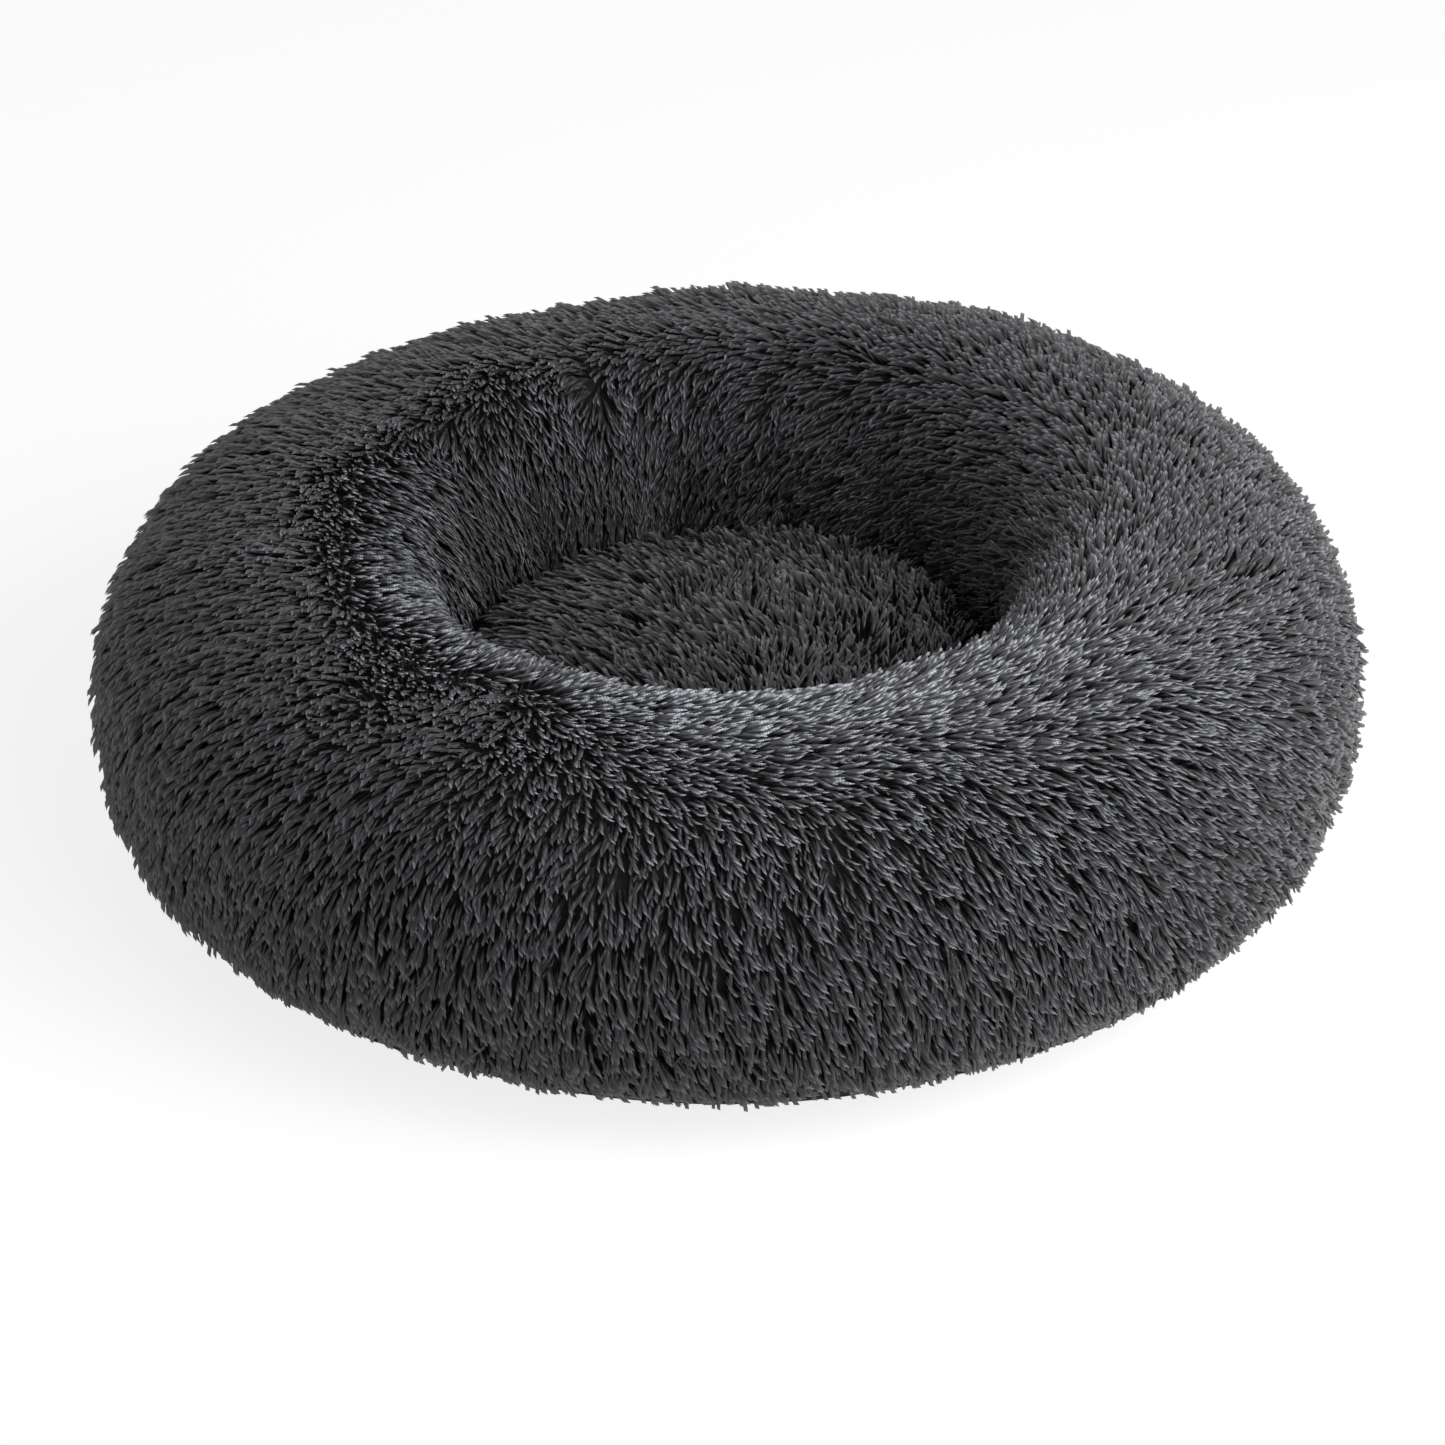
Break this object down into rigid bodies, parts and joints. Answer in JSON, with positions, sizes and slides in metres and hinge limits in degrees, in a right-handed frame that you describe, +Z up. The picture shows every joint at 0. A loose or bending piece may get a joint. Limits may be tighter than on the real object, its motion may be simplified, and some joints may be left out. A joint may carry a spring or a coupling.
{
  "type": "donut pet bed",
  "caption": "Round fur donut bed for a cat or small dog: a stuffed ring on a zipped, non-slip base, with a loose domed pad in its well.",
  "frame": {"origin": "centre of the bed's bounding box on the floor that it stands on", "axes": "+Z up, +Y to the back where the zip is, +X to the right as seen in the picture"},
  "size_m": [0.593, 0.593, 0.1829],
  "materials": {
    "fur": "long charcoal plush pile",
    "liner_cloth": "matt non-woven cloth",
    "fibre": "fluffed fibre",
    "base_cloth": "woven cloth with non-slip dots",
    "lining_cloth": "plain weave",
    "binding_cloth": "woven binding tape",
    "tape_cloth": "herringbone zip tape",
    "tooth_plastic": "satin moulded",
    "zip_metal": "dark plated"
  },
  "bodies": {
    "bed": {"ring_cover": "fur", "ring_liner": "liner_cloth", "ring_filling": "fibre", "floor_lining": "lining_cloth", "base_panel": "base_cloth", "base_piping": "base_cloth", "base_band": "base_cloth", "well_seam_binding": "binding_cloth", "zip_tape_upper": "tape_cloth", "zip_tape_lower": "tape_cloth", "zip_teeth_upper": "tooth_plastic", "zip_teeth_lower": "tooth_plastic", "zip_stop_closed": "zip_metal", "zip_stop_open": "zip_metal", "zip_end_tab_closed": "tape_cloth", "zip_end_tab_open": "tape_cloth"},
    "slider": {"zip_slider": "zip_metal"},
    "pull": {"zip_pull": "zip_metal"},
    "centre_cushion": {"cushion_cover_top": "fur", "cushion_cover_base": "lining_cloth", "cushion_seam_binding": "binding_cloth", "cushion_filling": "fibre"}
  },
  "joints": [
    {"name": "zip_slide", "type": "hinge", "parent": "bed", "child": "slider", "pos_m": [0, 0, 0], "axis": [0, 0, 1], "range_deg": [0, 92], "deforming": ["zip_teeth_upper", "zip_teeth_lower"]},
    {"name": "zip_pull_flip", "type": "hinge", "parent": "slider", "child": "pull", "pos_m": [0.18744, 0.18072, 0.01437], "axis": [0.6192, 0.597, 0.5102], "range_deg": [-90, 90]},
    {"name": "cushion_lift", "type": "slide", "parent": "bed", "child": "centre_cushion", "axis": [0, 0, 1], "range_m": [0, 0.25]}
  ]
}
